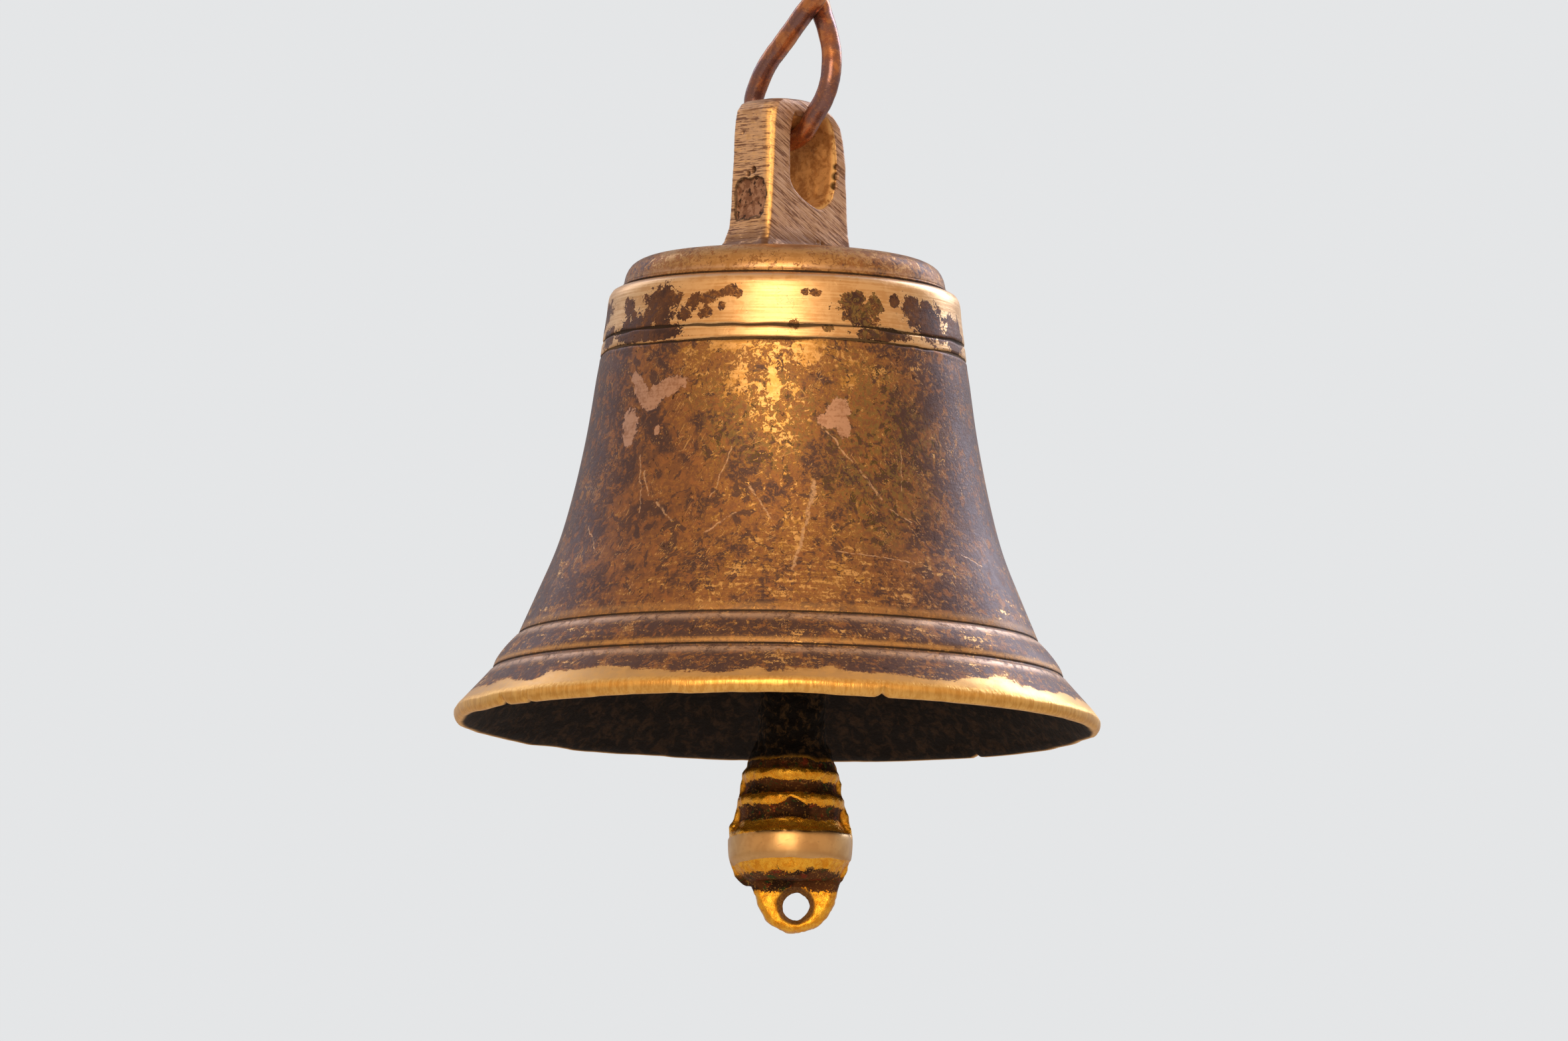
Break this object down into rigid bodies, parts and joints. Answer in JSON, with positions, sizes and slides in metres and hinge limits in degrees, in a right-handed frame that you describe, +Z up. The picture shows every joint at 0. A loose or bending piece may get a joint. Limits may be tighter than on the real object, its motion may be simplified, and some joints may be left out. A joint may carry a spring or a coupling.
{
  "type": "hanging bell with clapper",
  "caption": "Flared cast brass bell with a pierced hanging lug, hung on an S-hook of wire, with a linked clapper that swings below its mouth.",
  "frame": {"origin": "the point inside the top of the upper hook where the support bears", "axes": "+Z up along the bell's axis; Y along the hole of the lug and in the plane of the S-hook; X across the lug"},
  "size_m": [0.1524, 0.1524, 0.2539],
  "materials": {
    "bell_brass": "aged cast brass, turned and hand filed, brown patina worn to gold on edges",
    "clapper_brass": "golden cast brass, grimy in the grooves, polished where it strikes",
    "hook_wire": "red-brown oxidised drawn wire, satin",
    "inner_iron": "dark, rough, rust brown"
  },
  "bodies": {
    "hook": {"hanger_hook": "hook_wire"},
    "bell": {"bell_casting": "bell_brass", "crown_staple": "inner_iron"},
    "link": {"clapper_link": "inner_iron"},
    "clapper": {"clapper": "clapper_brass"}
  },
  "joints": [
    {"name": "bell_swing", "type": "hinge", "parent": "hook", "child": "bell", "pos_m": [0, 0, -0.0612], "axis": [0, 1, 0], "range_deg": [-38, 38]},
    {"name": "link_swing", "type": "hinge", "parent": "bell", "child": "link", "pos_m": [0.00247, -0.00247, -0.10565], "axis": [0.7071, -0.7071, 0], "range_deg": [-21, 21]},
    {"name": "clapper_swing", "type": "hinge", "parent": "link", "child": "clapper", "pos_m": [0.00247, -0.00247, -0.11955], "axis": [0.7071, 0.7071, 0], "range_deg": [-21, 21]}
  ]
}
